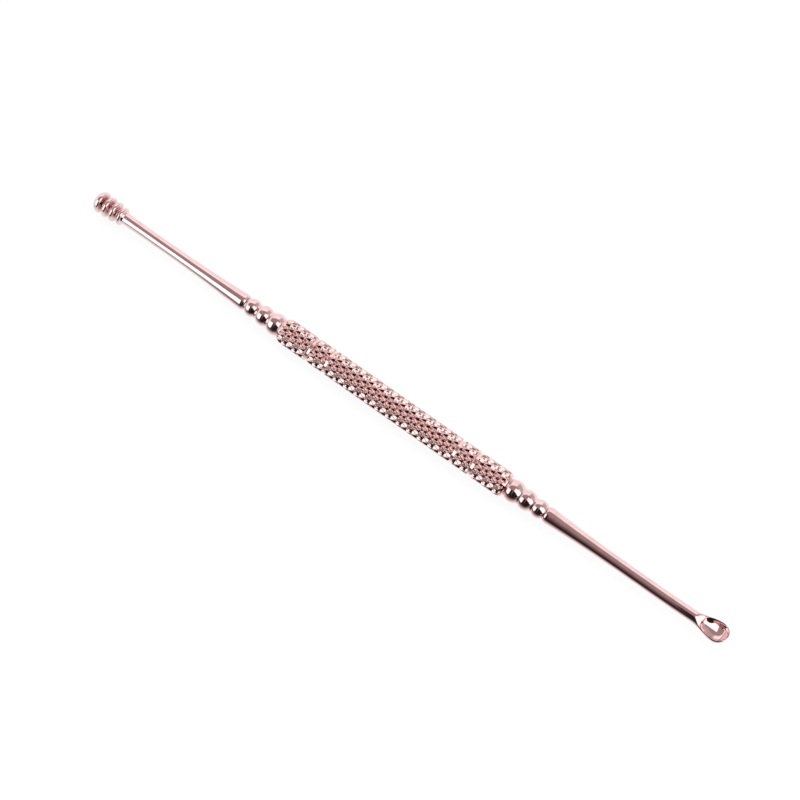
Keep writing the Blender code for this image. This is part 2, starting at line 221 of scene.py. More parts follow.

# What differs between the platings: colours, strength of the turning marks, share of the darker colour in
# worn patches and of the painted shade in recesses, distance over which a hollow is sensed for the painted
# shade, and roughness added on crests
Finish = namedtuple("Finish", "colour recess marks wear_share recess_share recess_reach crest_roughness")
POLISHED = Finish(
    colour=PLATE_COLOUR,
    recess=COPPER_AND_SHADE_COLOUR,
    marks=0.25,
    wear_share=0.35,
    recess_share=0.6,
    recess_reach=0.0006,
    crest_roughness=0.0,
)
RINGED = POLISHED._replace(recess=DARK_WEAR_AND_SHADE_COLOUR, wear_share=0.13, recess_share=1.0, recess_reach=0.0011)
KNURLED = POLISHED._replace(
    colour=KNURL_COLOUR,
    recess=DARK_WEAR_AND_SHADE_COLOUR,
    marks=0.15,
    wear_share=0.15,
    recess_share=0.55,
    crest_roughness=0.09,
)

# Camera, found by matching the tool's seams in the photograph
CAMERA_TARGET = Vector((-0.00089, 0.00175, 0.00253))
CAMERA_AZIMUTH = math.radians(36.66)
CAMERA_ELEVATION = math.radians(70)
CAMERA_DISTANCE = 0.3544
CAMERA_LENS_MM = 85.3
CAMERA_SENSOR_MM = 36.0
CAMERA_CLIP_START = 0.01

# Floor, world and lamp
FLOOR_SIZE = 6.0
FLOOR_COLOUR = 0.9
FLOOR_GLOW = 0.9
WORLD_FILL = 0.12
LAMP_POWER = 0.3
LAMP_SIZE = 0.5
LAMP_PLACE = Vector((-0.35, 0.35, 0.8))

# Tints of what the tool reflects
WHITE = (1.0, 1.0, 1.0)
COOL = (0.88, 1.0, 1.0)
GREY = (1.0, 0.93, 0.93)
BROWN = (1.0, 0.76, 0.77)
ROSY_GREY = (1.0, 0.93, 0.95)
ROSE = (1.0, 0.85, 0.87)

# Curved reflector cards: distance from the tool's axis, left and right side, strengths from the first tilt
# to the last, and tint. Tilts are degrees from straight up towards the front.
Side = namedtuple("Side", "x first_tilt last_tilt")
Card = namedtuple("Card", "radius left right strengths tint")
CARD_COLUMNS = 12
CARD_ROWS = 24
CARD_RADIUS = 0.9
SOFTBOX_RADIUS = 0.74
NEAR_SOFTBOX_RADIUS = 0.3
CEILING_EDGE = -0.12
COLUMN_EDGE = 0.06
BACK_EDGE = 0.04
SOFTBOX_EDGE = 0.31
FAR_EDGE = 1.3
WALL_EDGE = 1.5
CEILING_STRENGTHS = (0.4, 0.36, 0.37)
MIDDLE_STRENGTHS = (0.42, 0.37, 0.34)
COLUMN_STRENGTHS = (0.3, 0.2, 0.12, 0.05, 0.02, 0.02)
BLACK_STRENGTHS = (0.02, 0.02)
NEAR_SOFTBOX_STRENGTHS = (1.6, 1.6)
SOFTBOX_STRENGTHS = (1.5, 1.5)
BACK_STRENGTHS = (0.8, 0.58, 0.55, 0.5)
BACK_SOFTBOX_STRENGTHS = (1.12, 1.12)
WALL_STRENGTHS = (0.55, 0.5, 0.5)
CARDS = {
    "ceiling_card": Card(
        CARD_RADIUS, Side(-1.6, -20, 24), Side(CEILING_EDGE, -33, 24), CEILING_STRENGTHS, BROWN
    ),
    "middle_card": Card(
        CARD_RADIUS, Side(CEILING_EDGE, -34, 20), Side(0.5, -38, 20), MIDDLE_STRENGTHS, BROWN
    ),
    "column_card": Card(
        CARD_RADIUS, Side(-COLUMN_EDGE, 20, 96), Side(COLUMN_EDGE, 20, 96), COLUMN_STRENGTHS, BROWN
    ),
    "left_black_card": Card(
        CARD_RADIUS, Side(-0.5, 18, 96), Side(-COLUMN_EDGE, 18, 96), BLACK_STRENGTHS, WHITE
    ),
    "right_black_card": Card(
        CARD_RADIUS, Side(COLUMN_EDGE, 18, 93), Side(WALL_EDGE, 40, 84), BLACK_STRENGTHS, BROWN
    ),
    "left_softbox": Card(
        NEAR_SOFTBOX_RADIUS, Side(-0.5, 24, 92), Side(-0.125, 24, 80), NEAR_SOFTBOX_STRENGTHS, COOL
    ),
    "right_softbox": Card(
        SOFTBOX_RADIUS, Side(0.08, -15, 15), Side(SOFTBOX_EDGE, -16, 20), SOFTBOX_STRENGTHS, WHITE
    ),
    "far_softbox": Card(
        SOFTBOX_RADIUS, Side(SOFTBOX_EDGE, -16, 20), Side(FAR_EDGE, -34, 55), SOFTBOX_STRENGTHS, WHITE
    ),
    "side_softbox": Card(
        SOFTBOX_RADIUS, Side(FAR_EDGE, -34, 55), Side(4.0, -40, 60), SOFTBOX_STRENGTHS, WHITE
    ),
    "back_card": Card(
        CARD_RADIUS, Side(BACK_EDGE, -92, -34), Side(WALL_EDGE, -92, -34), BACK_STRENGTHS, GREY
    ),
    "back_softbox": Card(
        CARD_RADIUS, Side(-1.2, -64, -36), Side(BACK_EDGE, -64, -42), BACK_SOFTBOX_STRENGTHS, WHITE
    ),
    "right_wall": Card(
        CARD_RADIUS, Side(WALL_EDGE, -92, 92), Side(5.0, -92, 92), WALL_STRENGTHS, BROWN
    ),
}

# Low flags in front of the tool, seen only in reflections, with painted light and shade in place of the
# floor:
# bright near the tool and darker further out. Columns: x of the left and right side, strengths there at
# each reach, and tint
ShadeFlag = namedtuple("ShadeFlag", "left right left_strengths right_strengths tint")
FLAG_HEIGHT = 0.0001
FLAG_REACHES = (0.0025, 0.0045, 0.0085, 0.013, 0.02, 0.05, 0.9)
FAR_LEFT_STRENGTHS = (1.05, 1.05, 1.0, 0.85, 0.7, 0.65, 0.6)
NEAR_LEFT_STRENGTHS = (1.05, 0.85, 0.4, 0.15, 0.06, 0.06, 0.1)
RIGHT_STRENGTHS = (1.0, 0.75, 0.3, 0.17, 0.1, 0.03, 0.02)
SHADE_FLAGS = {
    "far_left_shade_flag": ShadeFlag(-0.6, -0.075, FAR_LEFT_STRENGTHS, FAR_LEFT_STRENGTHS, COOL),
    "left_shade_flag": ShadeFlag(-0.075, -0.045, FAR_LEFT_STRENGTHS, NEAR_LEFT_STRENGTHS, COOL),
    "middle_shade_flag": ShadeFlag(-0.045, -0.01, NEAR_LEFT_STRENGTHS, RIGHT_STRENGTHS, ROSY_GREY),
    "right_shade_flag": ShadeFlag(-0.01, 1.2, RIGHT_STRENGTHS, RIGHT_STRENGTHS, ROSE),
}


def make_object(name, points, faces, material, sharp=SHARP_ANGLE):
    """Smooth-shaded mesh object in the frame's own place."""
    mesh = bpy.data.meshes.new(name)
    mesh.from_pydata(points, [], faces)
    mesh.validate()
    mesh.shade_smooth()
    mesh.set_sharp_from_angle(angle=sharp)
    mesh.materials.append(material)
    piece = bpy.data.objects.new(name, mesh)
    bpy.context.scene.collection.objects.link(piece)
    return piece


def paint(piece, name, values):
    """Give each point of a piece a named value that its material reads."""
    piece.data.attributes.new(name, "FLOAT", "POINT").data.foreach_set("value", values)


def skin(rings, closed=False):
    """Points and faces over rings of points; a ring of one point is a pole."""
    points = []
    starts = []
    for ring in rings:
        starts.append(len(points))
        points.extend(tuple(point) for point in ring)
    faces = []
    pairs = list(zip(range(len(rings)), range(1, len(rings))))
    if closed:
        pairs.append((len(rings) - 1, 0))
    for first, second in pairs:
        near, far = starts[first], starts[second]
        near_count, far_count = len(rings[first]), len(rings[second])
        for side in range(max(near_count, far_count)):
            after = (side + 1) % max(near_count, far_count)
            if near_count == 1:
                faces.append((near, far + after, far + side))
            elif far_count == 1:
                faces.append((near + side, near + after, far))
            else:
                faces.append((near + side, near + after, far + after, far + side))
    return points, faces


def arc(centre_x, centre_radius, half_length, half_height, start, end, steps):
    """Points (x, radius) along part of an ellipse, angles in degrees from +x."""
    return [
        (centre_x + half_length * math.cos(angle), centre_radius + half_height * math.sin(angle))
        for angle in np.radians(np.linspace(start, end, steps + 1))
    ]


def rounded(outline):
    """Outline with each sharp corner replaced by a short curve."""
    smooth = [outline[0]]
    for before, corner, after in zip(outline, outline[1:], outline[2:]):
        back = Vector(before) - Vector(corner)
        ahead = Vector(after) - Vector(corner)
        turn = math.pi - back.angle(ahead) if back.length and ahead.length else 0
        if turn < CORNER_TURN:
            smooth.append(corner)
            continue
        reach = min(CORNER_ROUND, back.length * CORNER_LINE_SHARE, ahead.length * CORNER_LINE_SHARE)
        near = Vector(corner) + back.normalized() * reach
        far = Vector(corner) + ahead.normalized() * reach
        for step in range(CORNER_STEPS + 1):
            t = step / CORNER_STEPS
            point = (1 - t) ** 2 * near + 2 * t * (1 - t) * Vector(corner) + t ** 2 * far
            smooth.append((point.x, point.y))
    smooth.append(outline[-1])
    return smooth


def turned(name, outline, start, direction, material, closed=False):
    """Solid of revolution about the tool's axis; the outline runs from start in one direction."""
    rings = []
    turns = np.linspace(0, 2 * math.pi, TURNED_SIDES, endpoint=False) * -direction
    for along, radius in outline:
        x = start + direction * along
        if radius:
            rings.append([
                (x, radius * math.cos(turn), AXIS_HEIGHT + radius * math.sin(turn))
                for turn in turns
            ])
        else:
            rings.append([(x, 0, AXIS_HEIGHT)])
    points, faces = skin(rings, closed)
    return make_object(name, points, faces, material)


def bead(setback, diameter, near_neck, far_neck):
    """Arc over one bead, from the neck nearer to the grip to the neck further out."""
    start = 180 - math.degrees(math.asin(near_neck / diameter))
    end = math.degrees(math.asin(far_neck / diameter))
    return arc(setback, 0, diameter / 2, diameter / 2, start, end, BEAD_STEPS)


def collar_outline():
    """Outline of a bead collar from its face at the grip outwards, and back along its bore."""
    bore = SOCKET_DIAMETER / 2
    inner_setback = math.sqrt(INNER_BEAD_DIAMETER ** 2 - COLLAR_FACE_DIAMETER ** 2) / 2
    middle_setback = inner_setback + INNER_BEAD_PITCH
    outer_setback = middle_setback + OUTER_BEAD_PITCH
    edge = FLANGE_WIDTH / 2
    outline = [(0, bore)]
    outline += arc(edge, FLANGE_DIAMETER / 2 - edge, edge, edge, 180, 0, BEAD_STEPS // 2)
    flange_foot = math.sqrt(INNER_BEAD_DIAMETER ** 2 - 4 * (inner_setback - FLANGE_WIDTH) ** 2)
    outline += bead(inner_setback, INNER_BEAD_DIAMETER, flange_foot, INNER_NECK_DIAMETER)[1:]
    outline += bead(middle_setback, MIDDLE_BEAD_DIAMETER, INNER_NECK_DIAMETER, OUTER_NECK_DIAMETER)
    outline += bead(outer_setback, OUTER_BEAD_DIAMETER, OUTER_NECK_DIAMETER, END_NECK_DIAMETER)
    outline += [(COLLAR_LENGTH, END_NECK_DIAMETER / 2), (COLLAR_LENGTH, bore)]
    return rounded(outline)


def shank_outline(flare_length):
    """Outline of tang, seat, rounded shoulder and flare, down to the slim shank."""
    tang = TANG_DIAMETER / 2
    neck = END_NECK_DIAMETER / 2
    shoulder = SHOULDER_DIAMETER / 2
    shank = SHANK_DIAMETER / 2
    outline = [
        (-TANG_LENGTH, 0),
        (-TANG_LENGTH, tang - TANG_CHAMFER),
        (TANG_CHAMFER - TANG_LENGTH, tang),
        (0, tang),
    ]
    outline += arc(SHOULDER_ROUND, neck, SHOULDER_ROUND, shoulder - neck, 180, 90, SHOULDER_STEPS)
    for step in range(1, FLARE_STEPS + 1):
        left = 1 - step / FLARE_STEPS
        x = SHOULDER_ROUND + flare_length * (1 - left)
        outline.append((x, shank + (shoulder - shank) * left ** 2))
    return outline


def ring_outline(centre, diameter, rim_flat):
    """Outline over one ring: sloping flanks from its foot, and a flat rim with rounded edges."""
    core = RING_CORE_DIAMETER / 2
    centre_radius = diameter / 2 - RIM_RADIUS
    outline = [(centre - RING_FOOT_WIDTH / 2, core)]
    outline += arc(centre - rim_flat / 2, centre_radius, RIM_RADIUS, RIM_RADIUS, 180, 90, RIM_STEPS)
    outline += arc(centre + rim_flat / 2, centre_radius, RIM_RADIUS, RIM_RADIUS, 90, 0, RIM_STEPS)
    outline.append((centre + RING_FOOT_WIDTH / 2, core))
    return outline


def ring_tip_outline():
    """Whole outline of the ring tip, from the tang's end to the domed nose."""
    outline = shank_outline(RING_TIP_FLARE)
    shank = SHANK_DIAMETER / 2
    first_centre = RING_TIP_LENGTH - FIRST_RING_SETBACK
    last_centre = first_centre - (len(RING_DIAMETERS) - 1) * RING_PITCH
    neck_end = last_centre - RING_FOOT_WIDTH / 2
    for step in range(RING_NECK_STEPS):
        along = step / RING_NECK_STEPS
        x = neck_end - RING_NECK_LENGTH * (1 - along)
        outline.append((x, shank + (RING_NECK_DIAMETER / 2 - shank) * along ** 2))
    outline.append((neck_end, RING_NECK_DIAMETER / 2))
    rings = []
    for index, diameter in enumerate(RING_DIAMETERS):
        rim_flat = RIM_FLAT if index else LAST_RIM_FLAT
        rings += ring_outline(last_centre + index * RING_PITCH, diameter, rim_flat)
    # The neck's end stands for the last ring's foot, and the domed nose for the first ring's outer half
    outline += rings[1:-RIM_STEPS - 2]
    nose = RING_TIP_LENGTH - first_centre
    outline += arc(first_centre, 0, nose, RING_DIAMETERS[-1] / 2, 90, 0, NOSE_STEPS)[:-1]
    outline.append((RING_TIP_LENGTH, 0))
    return rounded(outline)


def smooth_step(value):
    """Eased 0 to 1."""
    value = np.clip(value, 0, 1)
    return value * value * (3 - 2 * value)


def smooth_min(first, second, reach):
    """The lower of two heights, blended where they are within reach of each other."""
    blend = np.maximum(reach - np.abs(first - second), 0) / reach
    return np.minimum(first, second) - blend * blend * reach / 4


def knurl_radius(x, turns):
    """Radius of the lattice of crossing ridges at one station, for angles from straight up."""
    along = (x - GRIP_START) / KNURL_PITCH + KNURL_PHASE
    around = (turns - KNURL_TURN) / (2 * math.pi) * KNURL_STARTS
    falls = []
    for helix in (along + around, along - around):
        from_crest = np.maximum(np.abs(helix - np.round(helix)) - CREST_FLAT_SHARE, 0)
        falls.append(np.sin(math.pi / 2 * from_crest / (0.5 - CREST_FLAT_SHARE)))
    return CREST_RADIUS - KNURL_DEPTH * smooth_min(falls[0], falls[1], PIT_ROUND_SHARE)


def split_at_crests(points, faces):
    """Cut each bent quad along its outer diagonal, so that the knurl's crests stay crisp."""
    radii = [math.hypot(y, z - AXIS_HEIGHT) for x, y, z in points]
    pieces = []
    for face in faces:
        if len(face) == 4:
            a, b, c, d = face
            lead = radii[a] + radii[c] - radii[b] - radii[d]
            if lead > CREST_STEP:
                pieces += [(a, b, c), (a, c, d)]
                continue
            if lead < -CREST_STEP:
                pieces += [(a, b, d), (b, c, d)]
                continue
        pieces.append(face)
    return pieces


def grip_envelope():
    """Turned envelope of the grip as points (x, radius), and the spans where it has no knurl."""
    floor = GROOVE_DIAMETER / 2
    bare = [(GRIP_START, GRIP_START + END_CHAMFER_RUN / 2), (GRIP_END - END_CHAMFER_RUN / 2, GRIP_END)]
    envelope = [
        (GRIP_START, END_FACE_DIAMETER / 2),
        (GRIP_START + END_CHAMFER_RUN, CREST_RADIUS),
    ]
    x = GRIP_START
    for band in (OUTER_BAND, INNER_BAND, MIDDLE_BAND, INNER_BAND):
        x += band
        envelope += [(x, CREST_RADIUS), (x + GROOVE_WALL_RUN, floor - GROOVE_FLOOR_LEAN)]
        bare.append((x + GROOVE_WALL_RUN / 2, x + GROOVE_WIDTH - GROOVE_WALL_RUN / 2))
        x += GROOVE_WIDTH
        envelope += [(x - GROOVE_WALL_RUN, floor + GROOVE_FLOOR_LEAN), (x, CREST_RADIUS)]
    envelope += [
        (GRIP_END - END_CHAMFER_RUN, CREST_RADIUS),
        (GRIP_END, END_FACE_DIAMETER / 2),
    ]
    return envelope, bare


def grip_ring(x, radii, turns):
    """Points round one station of the grip; a radius of 0 makes a pole."""
    if not np.any(radii):
        return [(x, 0, AXIS_HEIGHT)]
    return [
        (x, -radius * math.sin(turn), AXIS_HEIGHT + radius * math.cos(turn))
        for radius, turn in zip(np.broadcast_to(radii, turns.shape), turns)
    ]


def grip_stations(envelope):
    """Places along the grip of the lattice's own rows and of the envelope's corners."""
    row = KNURL_PITCH / KNURL_CELLS
    first_row = GRIP_START - KNURL_PHASE * KNURL_PITCH
    rows = {first_row + row * index for index in range(int((GRIP_END - first_row) / row) + 1)}
    return sorted(rows.union(x for x, radius in envelope))


def grip_piece(material):
    """Knurled grip with its grooves, chamfers and blind sockets."""
    envelope, bare = grip_envelope()
    stations = grip_stations(envelope)
    limits = np.interp(stations, [x for x, radius in envelope], [radius for x, radius in envelope])
    turns = KNURL_TURN + np.linspace(0, 2 * math.pi, KNURL_SIDES, endpoint=False)
    socket = SOCKET_DIAMETER / 2
    rings = [
        grip_ring(GRIP_START + SOCKET_DEPTH + DRILL_POINT, 0, turns),
        grip_ring(GRIP_START + SOCKET_DEPTH, socket, turns),
        grip_ring(GRIP_START, socket, turns),
    ]
    for x, limit in zip(stations, limits):
        plain = any(start <= x <= end for start, end in bare)
        radii = limit if plain else np.minimum(knurl_radius(x, turns), limit)
        rings.append(grip_ring(x, radii, turns))
    rings += [
        grip_ring(GRIP_END, socket, turns),
        grip_ring(GRIP_END - SOCKET_DEPTH, socket, turns),
        grip_ring(GRIP_END - SOCKET_DEPTH - DRILL_POINT, 0, turns),
    ]
    points, faces = skin(rings)
    faces = split_at_crests(points, faces)
    piece = make_object("diamond_knurled_grip", points, faces, material, KNURL_SHARP_ANGLE)
    below = [CREST_RADIUS - math.hypot(y, z - AXIS_HEIGHT) for x, y, z in points]
    paint(piece, "crest", 1 - smooth_step(np.array(below) / CREST_FALL))
    return piece


def bend_rise(x):
    """Height that the scoop tip's bend has gained at a distance from the seat."""
    along = max(x - (SCOOP_TIP_LENGTH - SCOOP_BEND_LENGTH), 0) / SCOOP_BEND_LENGTH
    return SCOOP_RISE * along ** 2


def head_height(x):
    """Height above the axis of the ramp and the lips."""
    ramp_run = (SHANK_DIAMETER / 2 - LIP_START_HEIGHT) / math.tan(RAMP_ANGLE)
    lip_start = SCOOP_TIP_LENGTH - RAMP_SETBACK + ramp_run
    ramp = LIP_START_HEIGHT + (lip_start - x) * math.tan(RAMP_ANGLE)
    lip = LIP_START_HEIGHT + (x - lip_start) * math.tan(LIP_ANGLE)
    return -smooth_min(-ramp, -lip, RAMP_FILLET)


def scoop_top(x, y):
    """Height above the axis of the ramp, lips and bowl at one place of the scoop's head.

    The bowl gets deeper towards its end wall. Across, it is a shallow dish inside a steeper wall.
    """
    cut = head_height(x)
    along = (x - (SCOOP_TIP_LENGTH - BOWL_SETBACK)) / BOWL_LENGTH
    if not 0 < along < 1:
        return np.full_like(y, cut)
    start = BOWL_START_DEPTH * (1 - math.exp(-along / BOWL_START_SHARE))
    deepest = (start + BOWL_FALL * along) * (1 - along ** BOWL_END_POWER)
    side = BOWL_WIDEST_SHARE if along < BOWL_WIDEST_SHARE else 1 - BOWL_WIDEST_SHARE
    narrowing = abs((along - BOWL_WIDEST_SHARE) / side) ** BOWL_OUTLINE_POWER
    half_width = BOWL_WIDTH / 2 * (1 - narrowing) ** (1 / BOWL_OUTLINE_POWER)
    spread = np.minimum(np.abs(y) / half_width, 1)
    up_wall = np.clip((spread - BOWL_WALL_START_SHARE) / (1 - BOWL_WALL_START_SHARE), 0, 1)
    wall = (1 - up_wall) ** BOWL_WALL_POWER
    wall_growth = smooth_step((along - WALL_FROM_SHARE) / (WALL_TO_SHARE - WALL_FROM_SHARE))
    wall_share = BOWL_WALL_SHARE * wall_growth
    dish = 1 - spread ** 2
    return cut - deepest * (wall_share * wall + (1 - wall_share) * dish)


def head_ring(x, half_width, low, high):
    """Points (y, z) round one section: along its outside, and back over the top from edge to edge.

    The bowl leaves at least the shell's thickness above the underside.
    """
    middle = (high + low) / 2
    half_depth = (high - low) / 2
    cut = float(head_height(x))
    edge_sine = min(max((cut - middle) / half_depth, LOWEST_EDGE_SINE), 1)
    edge = min(math.asin(edge_sine), TOP_EDGE_ANGLE)
    around = np.linspace(edge, -math.pi - edge, OUTER_POINTS)
    outside = smooth_min(middle + half_depth * np.sin(around), cut, LIP_ROUND)
    sweep = np.linspace(-math.pi / 2, math.pi / 2, TOP_POINTS + 2)[1:-1]
    across = half_width * math.cos(edge) * np.sin(sweep)
    bulge = half_depth * np.sqrt(1 - (across / half_width) ** 2)
    floor = np.maximum(scoop_top(x, across), np.minimum(middle - bulge + SHELL_THICKNESS, cut))
    top = smooth_min(middle + bulge, floor, LIP_ROUND)
    return [*zip(half_width * np.cos(around), outside), *zip(across, top)]


def scoop_sections():
    """Sections of the scoop tip from tang to end: place, half width, lowest and highest point."""
    shank = SHANK_DIAMETER / 2
    sections = [(x, radius, -radius, radius) for x, radius in rounded(shank_outline(SCOOP_TIP_FLARE))]
    widest = SCOOP_TIP_LENGTH - SCOOP_END_LENGTH
    neck_start = widest - SCOOP_NECK_LENGTH
    shank_start = sections[-1][0] + SHANK_STATION / 2
    for x in np.arange(shank_start, neck_start - SHANK_STATION, SHANK_STATION):
        sections.append((x, shank, -shank, shank))
    for x in np.arange(neck_start, widest, HEAD_STATION):
        swell = float(smooth_step((x - neck_start) / SCOOP_NECK_LENGTH))
        sections.append((
            x,
            shank + (SCOOP_WIDTH / 2 - shank) * swell,
            -shank - (SCOOP_BOTTOM - shank) * swell,
            shank + (SCOOP_TOP - shank) * swell,
        ))
    for angle in np.linspace(0, math.pi / 2, END_STEPS, endpoint=False):
        rise = SCOOP_END_RISE * (1 - math.cos(angle))
        sections.append((
            widest + SCOOP_END_LENGTH * math.sin(angle),
            SCOOP_WIDTH / 2 * math.cos(angle),
            rise - SCOOP_BOTTOM * math.cos(angle),
            rise + SCOOP_TOP * math.cos(angle),
        ))
    return sections


def scoop_piece(material):
    """Scoop tip: turned shank that swells into a head with a ramp, rounded lips and a bowl."""
    rings = []
    for x, half_width, low, high in scoop_sections():
        if half_width:
            height = AXIS_HEIGHT + bend_rise(x)
            rings.append([(SCOOP_SEAT + x, y, height + z) for y, z in head_ring(x, half_width, low, high)])
        else:
            rings.append([(SCOOP_SEAT + x, 0, AXIS_HEIGHT)])
    end = SCOOP_TIP_LENGTH
    end_height = AXIS_HEIGHT + bend_rise(end) + min(SCOOP_END_RISE, head_height(end))
    rings.append([(SCOOP_SEAT + end, 0, end_height)])
    points, faces = skin(rings)
    return make_object("scooped_tip", points, faces, material, SCOOP_SHARP_ANGLE)


def node(tree, kind, **values):
    """New shader node with some of its settings and input values."""
    made = tree.nodes.new(kind)
    for key, value in values.items():
        if key.startswith("in_"):
            made.inputs[key[3:].replace("_", " ")].default_value = value
        else:
            setattr(made, key, value)
    return made


def new_material(name):
    """New node material and its tree."""
    material = bpy.data.materials.new(name)
    material.use_nodes = True
    return material, material.node_tree


def combine(tree, operation, *terms, **settings):
    """Output of a maths node whose terms are plain numbers or the outputs of other nodes."""
    made = node(tree, "ShaderNodeMath", operation=operation, **settings)
    for socket, term in zip(made.inputs, terms):
        if isinstance(term, bpy.types.NodeSocket):
            tree.links.new(term, socket)
        else:
            socket.default_value = term
    return made.outputs["Value"]


def colour_plating(tree, place, shader, finish):
    """Soft drift of the plating's colour with darker, redder worn patches, and painted shade, darker and
    redder, in the recesses.
    """
    drift = node(
        tree,
        "ShaderNodeTexNoise",
        in_Scale=DRIFT_SCALE,
        in_Detail=DRIFT_DETAIL,
        in_Roughness=DRIFT_ROUGHNESS,
    )
    tree.links.new(place, drift.inputs["Vector"])
    wear = node(
        tree,
        "ShaderNodeMapRange",
        in_From_Min=WEAR_START_NOISE,
        in_From_Max=WEAR_FULL_NOISE,
        in_To_Min=0.0,
        in_To_Max=finish.wear_share,
    )
    tree.links.new(drift.outputs["Fac"], wear.inputs["Value"])
    # Painted shade: where ambient occlusion finds a recess, the plating turns darker and redder
    pocket = node(
        tree,
        "ShaderNodeAmbientOcclusion",
        samples=POCKET_SAMPLES,
        only_local=True,
        in_Distance=finish.recess_reach,
    )
    painted_shade = node(
        tree,
        "ShaderNodeMapRange",
        in_From_Min=POCKET_START_OPENNESS,
        in_From_Max=POCKET_FULL_OPENNESS,
        in_To_Min=0.0,
        in_To_Max=finish.recess_share,
    )
    tree.links.new(pocket.outputs["AO"], painted_shade.inputs["Value"])
    shade = node(
        tree,
        "ShaderNodeMix",
        data_type="RGBA",
        in_A=(*finish.colour, 1),
        in_B=(*finish.recess, 1),
    )
    wear_and_shade_mix = combine(tree, "MAXIMUM", wear.outputs["Result"], painted_shade.outputs["Result"])
    tree.links.new(wear_and_shade_mix, shade.inputs["Factor"])
    tree.links.new(shade.outputs["Result"], shader.inputs["Base Color"])


def roughen_plating(tree, place, shader, finish):
    """Fine drift of the gloss, duller on the crests of a knurl."""
    fine = node(
        tree,
        "ShaderNodeTexNoise",
        in_Scale=GLOSS_SCALE,
        in_Detail=GLOSS_DETAIL,
        in_Roughness=GLOSS_NOISE_ROUGHNESS,
    )
    tree.links.new(place, fine.inputs["Vector"])
    gloss = node(
        tree,
        "ShaderNodeMapRange",
        in_From_Min=SMOOTH_NOISE,
        in_From_Max=ROUGH_NOISE,
        in_To_Min=LEAST_ROUGHNESS,
        in_To_Max=MOST_ROUGHNESS,
    )
    tree.links.new(fine.outputs["Fac"], gloss.inputs["Value"])
    crest = node(tree, "ShaderNodeAttribute", attribute_name="crest").outputs["Fac"]
    rubbed = combine(tree, "MULTIPLY_ADD", crest, finish.crest_roughness, gloss.outputs["Result"])
    tree.links.new(rubbed, shader.inputs["Roughness"])


def mark_plating(tree, place, shader, finish):
    """Fine rings that turning left around the tool."""
    squeeze = node(tree, "ShaderNodeMapping", in_Scale=MARK_SCALE)
    tree.links.new(place, squeeze.inputs["Vector"])
    rings = node(tree, "ShaderNodeTexNoise", in_Scale=1.0, in_Detail=MARK_DETAIL)
    tree.links.new(squeeze.outputs["Vector"], rings.inputs["Vector"])
    bump = node(tree, "ShaderNodeBump", in_Strength=finish.marks, in_Distance=MARK_HEIGHT)
    tree.links.new(rings.outputs["Fac"], bump.inputs["Height"])
    tree.links.new(bump.outputs["Normal"], shader.inputs["Normal"])


def plating(name, finish):
    """Rose-gold plating with soft colour drift, redder worn patches, painted shade in recesses, uneven
    gloss and turning marks.
    """
    material, tree = new_material(name)
    shader = tree.nodes["Principled BSDF"]
    shader.inputs["Metallic"].default_value = 1.0
    place = node(tree, "ShaderNodeTexCoord").outputs["Object"]
    colour_plating(tree, place, shader, finish)
    roughen_plating(tree, place, shader, finish)
    mark_plating(tree, place, shader, finish)
    return material


def first_sight(tree):
    """1 for rays that come from the camera by mirrors and glass alone, 0 after any matt surface."""
    path = node(tree, "ShaderNodeLightPath").outputs
    mirrored = combine(tree, "MAXIMUM", path["Is Camera Ray"], path["Is Glossy Ray"])
    seen = combine(tree, "MAXIMUM", mirrored, path["Is Transmission Ray"])
    return combine(tree, "SUBTRACT", seen, path["Diffuse Depth"], use_clamp=True)


def glow(name, tint):
    """Light whose strength is painted on the card, for reflections only."""
    material, tree = new_material(name)
    tree.nodes.clear()
    painted = node(tree, "ShaderNodeAttribute", attribute_name="glow").outputs["Fac"]
    light = node(tree, "ShaderNodeEmission", in_Color=(*tint, 1))
    tree.links.new(combine(tree, "MULTIPLY", painted, first_sight(tree)), light.inputs["Strength"])
    out = node(tree, "ShaderNodeOutputMaterial")
    tree.links.new(light.outputs["Emission"], out.inputs["Surface"])
    return material


def hide_but_in_reflections(made):
    """Let a card be seen in mirrors alone."""
    made.visible_camera = False
    made.visible_diffuse = False
    made.visible_shadow = False
    made.visible_transmission = False
    made.visible_volume_scatter = False


def make_shade_flag(name, flag):
    """Low card lying in front of the tool, seen only in reflections, with painted light and shade,
    brighter or darker along each side and reach.
    """
    points = [(x, -reach, FLAG_HEIGHT) for reach in FLAG_REACHES for x in (flag.left, flag.right)]
    faces = [(corner, corner + 1, corner + 3, corner + 2) for corner in range(0, len(points) - 2, 2)]
    made = make_object(name, points, faces, glow(name, flag.tint))
    pairs = zip(flag.left_strengths, flag.right_strengths)
    paint(made, "glow", [strength for pair in pairs for strength in pair])
    hide_but_in_reflections(made)


def make_card(name, card):
    """Curved reflector round the tool, seen only in its reflections."""
    points = []
    glows = []
    for row in range(CARD_ROWS + 1):
        down = row / CARD_ROWS
        strength = float(np.interp(down, np.linspace(0, 1, len(card.strengths)), card.strengths))
        for column in range(CARD_COLUMNS + 1):
            across = column / CARD_COLUMNS
            x, first, last = (left + (right - left) * across for left, right in zip(card.left, card.right))
            tilt = math.radians(first + (last - first) * down)
            points.append((x, -card.radius * math.sin(tilt), card.radius * math.cos(tilt)))
            glows.append(strength)
    faces = []
    for row in range(CARD_ROWS):
        for column in range(CARD_COLUMNS):
            corner = row * (CARD_COLUMNS + 1) + column
            faces.append((corner, corner + 1, corner + CARD_COLUMNS + 2, corner + CARD_COLUMNS + 1))
    made = make_object(name, points, faces, glow(name, card.tint))
    paint(made, "glow", glows)
    hide_but_in_reflections(made)


